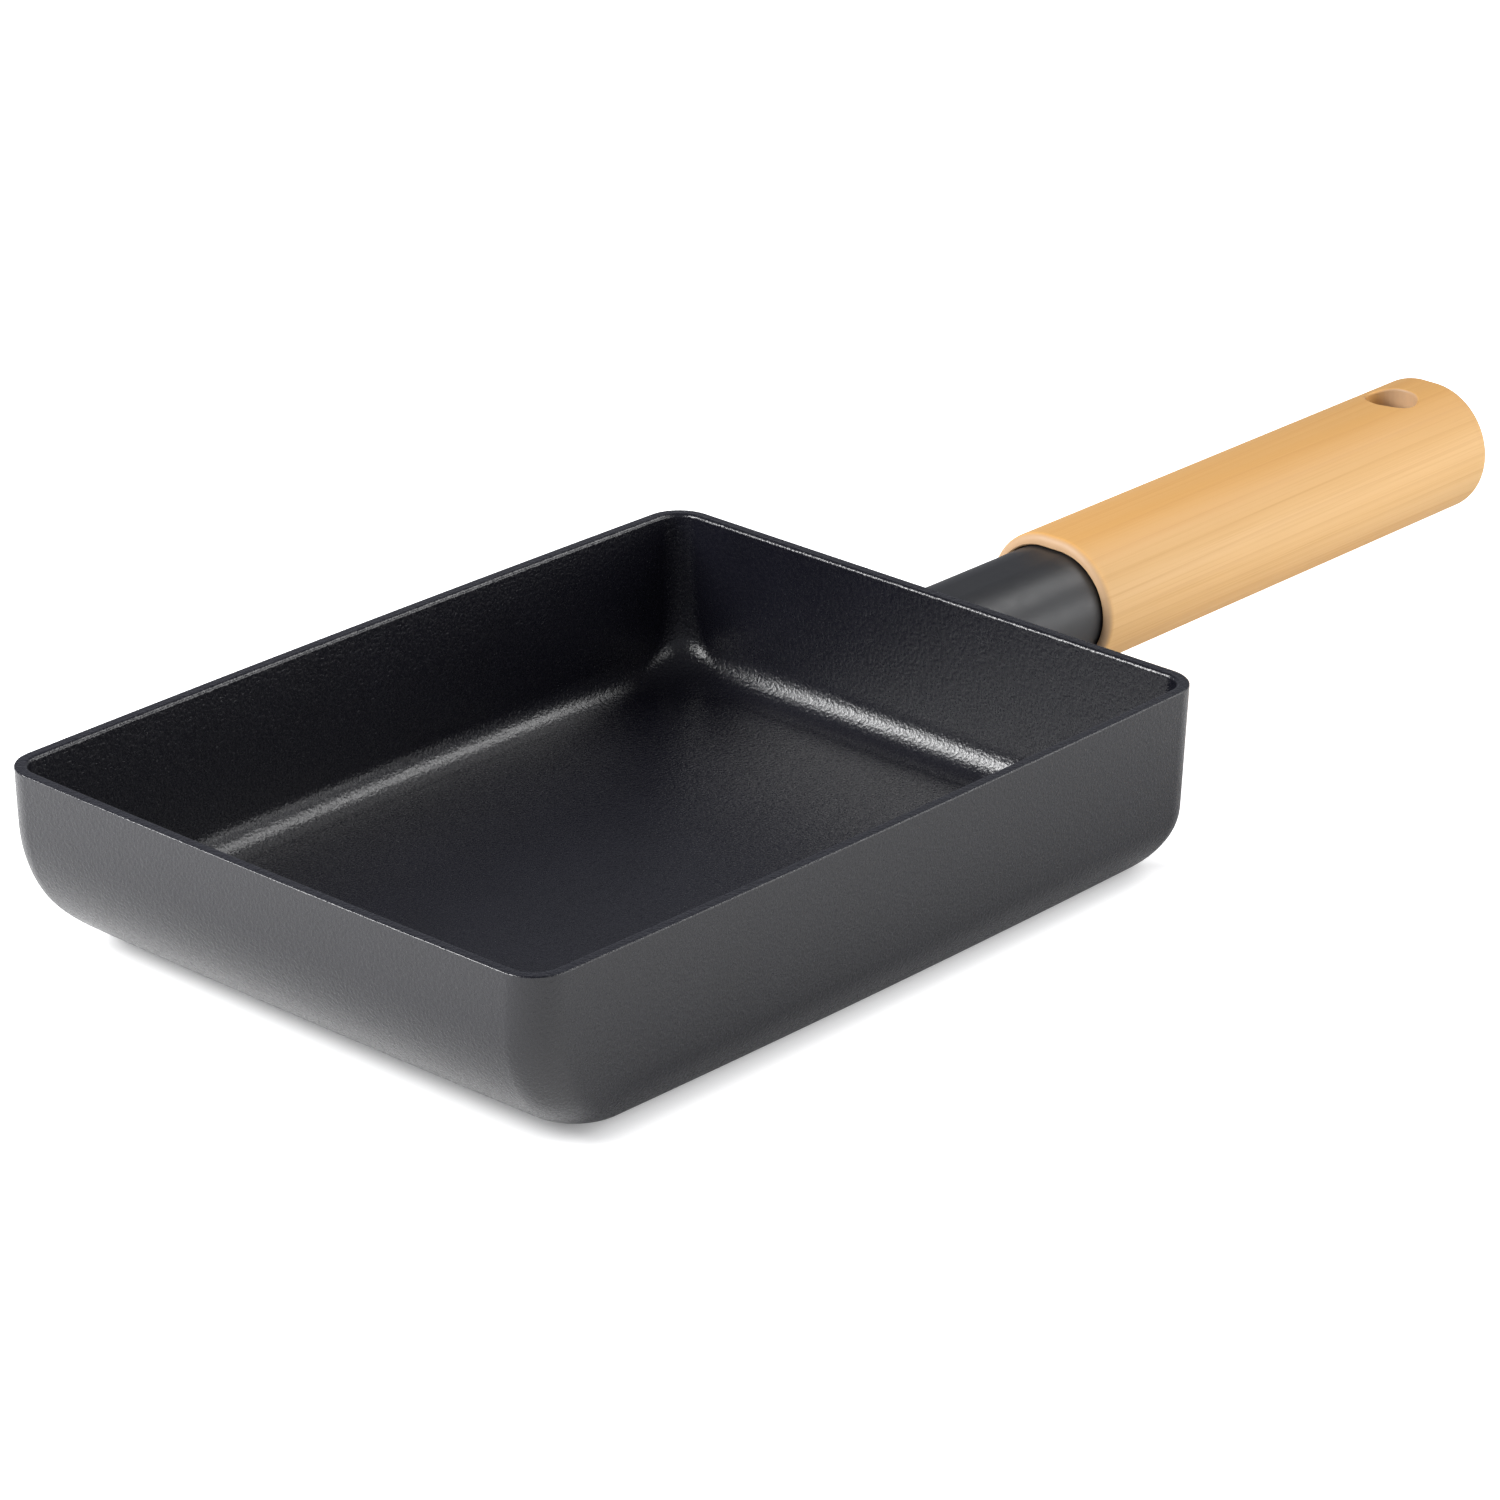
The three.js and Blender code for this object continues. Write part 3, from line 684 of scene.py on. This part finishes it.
handle_mesh = bmesh.new()
handle_mesh.from_mesh(handle.data)
drilled_wall = [face for face in handle_mesh.faces if all(on_drilled_wall(vert) for vert in face.verts)]
bmesh.ops.delete(handle_mesh, geom=drilled_wall, context="FACES")
rims = [vert for vert in handle_mesh.verts if vert.is_boundary]
ease_rim(handle_mesh, [vert for vert in rims if vert.co.z > AXIS_HEIGHT], Vector((0, 0, -1)))
ease_rim(handle_mesh, [vert for vert in rims if vert.co.z < AXIS_HEIGHT], Vector((0, 0, 1)))
bmesh.ops.bridge_loops(handle_mesh, edges=[edge for edge in handle_mesh.edges if edge.is_boundary])
print("handle:", len(handle_mesh.faces), "faces,", len(rims), "vertices on the rims of the hole")
write_mesh(handle_mesh, handle.data)
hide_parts("wooden_handle")
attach(handle, "root")

# %% [markdown]
# ## Even shading on flat faces
# Smooth shading averages the normals of neighbouring faces, and beside a narrow rounded edge that makes
# a wide flat face look swollen. A Weighted Normal modifier lets large faces keep their own direction.

# %% Weighted normals
for piece in (pan, collar, handle):
    weighted = piece.modifiers.new("weighted_normals", "WEIGHTED_NORMAL")
    weighted.keep_sharp = True
print("weighted normals on", pan.name, collar.name, handle.name)

# %% [markdown]
# ## The studio
# The pan stands on a plain white floor among four softboxes. The key light on the left lights the front
# wall. One behind the handle draws the bright lines along the rounded feet inside. A long low one on the
# right lights the side wall and the wood, and a small high one picks out the far corner. The room is
# dim, and brightest near the horizon. The floor is a real surface that takes shadows. To the camera it
# also glows, because a lit white sheet alone would come out grey. The glow is dimmed in a band round the
# pan's rim, which is a painted contact shadow, and in reflections it is faint, which keeps the walls dark.

# %% Lights and floor
FLOOR_SIZE = 12.0
FLOOR_COLOUR = "#e8e8e8"
# The glow's low value near the pan and its spread across the rim make a painted contact shadow.
FLOOR_GLOW_AND_PAINTED_SHADOW, PAINTED_SHADOW_SPREAD = (0.18, 1.0), (-14 * MM, 6 * MM)
REFLECTED_SHARE = 0.05
ROOM_COLOUR = "#eceffa"
ROOM_LEVELS, ROOM_HEIGHTS = (0.4, 0.14), (0.25, 0.65)
Softbox = namedtuple("Softbox", "towards distance wide high power")
SOFTBOXES = {
    "key_softbox": Softbox(Vector((-0.72, 0.42, 0.55)), 0.62, 0.46, 0.26, 7.3),
    "back_softbox": Softbox(Vector((0.69, -0.22, 0.69)), 0.9, 0.34, 0.42, 2.5),
    "low_softbox": Softbox(Vector((0.55, -0.82, 0.14)), 0.9, 1.0, 0.27, 3.5),
    "high_softbox": Softbox(Vector((0.15, -0.74, 0.66)), 0.9, 0.28, 0.28, 1.0),
}

for name, softbox in SOFTBOXES.items():
    lamp = bpy.data.lights.new(name, "AREA")
    lamp.shape = "RECTANGLE"
    lamp.size, lamp.size_y = softbox.wide, softbox.high
    lamp.energy = softbox.power
    light = bpy.data.objects.new(name, lamp)
    light.location = AIM + softbox.towards.normalized() * softbox.distance
    light.rotation_mode = "QUATERNION"
    light.rotation_quaternion = softbox.towards.to_track_quat("Z", "Y")
    scene.collection.objects.link(light)

world = bpy.data.worlds.new("dim_room")
world.use_nodes = True
walls = world.node_tree.nodes["Background"]
walls.inputs["Color"].default_value = colour(ROOM_COLOUR)
look = add(world.node_tree, "ShaderNodeTexCoord").outputs["Generated"]
upward = add(world.node_tree, "ShaderNodeSeparateXYZ", {}, {"Vector": look})
room_level = add(world.node_tree, "ShaderNodeMapRange", {"interpolation_type": "SMOOTHSTEP"}, {
    "Value": upward.outputs["Z"], "From Min": ROOM_HEIGHTS[0], "From Max": ROOM_HEIGHTS[1],
    "To Min": ROOM_LEVELS[0], "To Max": ROOM_LEVELS[1]})
world.node_tree.links.new(room_level.outputs["Result"], walls.inputs["Strength"])
scene.world = world


def white_sheet_with_painted_shadow():
    """A floor that looks white to the camera, with a painted contact shadow where its glow is dimmed round
    the pan.
    """
    material, tree, output = new_material("white_sheet_with_painted_shadow")
    rays = add(tree, "ShaderNodeLightPath")
    mirrored = add(tree, "ShaderNodeMath", {"operation": "MAXIMUM"}, {
        0: rays.outputs["Is Glossy Ray"], 1: rays.outputs["Is Transmission Ray"]})
    dimmed = add(tree, "ShaderNodeMath", {"operation": "MULTIPLY"}, {
        0: mirrored.outputs["Value"], 1: REFLECTED_SHARE})
    shown = add(tree, "ShaderNodeMath", {"operation": "MAXIMUM"}, {
        0: rays.outputs["Is Camera Ray"], 1: dimmed.outputs["Value"]})
    place = add(tree, "ShaderNodeTexCoord").outputs["Object"]
    # Painted contact shadow: the glow is dimmed by distance beyond the pan's rim, from under the overhang to
    # just outside it.
    folded = add(tree, "ShaderNodeVectorMath", {"operation": "ABSOLUTE"}, {0: place})
    beyond = add(tree, "ShaderNodeVectorMath", {"operation": "SUBTRACT"}, {
        0: folded.outputs["Vector"], 1: (RIM_BACK, RIM_SIDE, 0)})
    beyond_by = add(tree, "ShaderNodeSeparateXYZ", {}, {"Vector": beyond.outputs["Vector"]})
    away = add(tree, "ShaderNodeMath", {"operation": "MAXIMUM"}, {
        0: beyond_by.outputs["X"], 1: beyond_by.outputs["Y"]})
    strength = add(tree, "ShaderNodeMapRange", {"interpolation_type": "SMOOTHSTEP"}, {
        "Value": away.outputs["Value"], "From Min": PAINTED_SHADOW_SPREAD[0], "From Max": PAINTED_SHADOW_SPREAD[1],
        "To Min": FLOOR_GLOW_AND_PAINTED_SHADOW[0], "To Max": FLOOR_GLOW_AND_PAINTED_SHADOW[1]})
    level = add(tree, "ShaderNodeMath", {"operation": "MULTIPLY"}, {
        0: shown.outputs["Value"], 1: strength.outputs["Result"]})
    glow = add(tree, "ShaderNodeEmission", {}, {"Strength": level.outputs["Value"]})
    sheet = add(tree, "ShaderNodeBsdfDiffuse", {}, {"Color": colour(FLOOR_COLOUR)})
    both = add(tree, "ShaderNodeAddShader", {}, {0: glow.outputs["Emission"], 1: sheet.outputs["BSDF"]})
    tree.links.new(both.outputs["Shader"], output.inputs["Surface"])
    return material


floor_mesh = bmesh.new()
bmesh.ops.create_grid(floor_mesh, x_segments=1, y_segments=1, size=FLOOR_SIZE / 2)
floor = finish_piece(floor_mesh, "floor", white_sheet_with_painted_shadow())
print("studio:", ", ".join(SOFTBOXES), "and a floor", FLOOR_SIZE, "m wide")
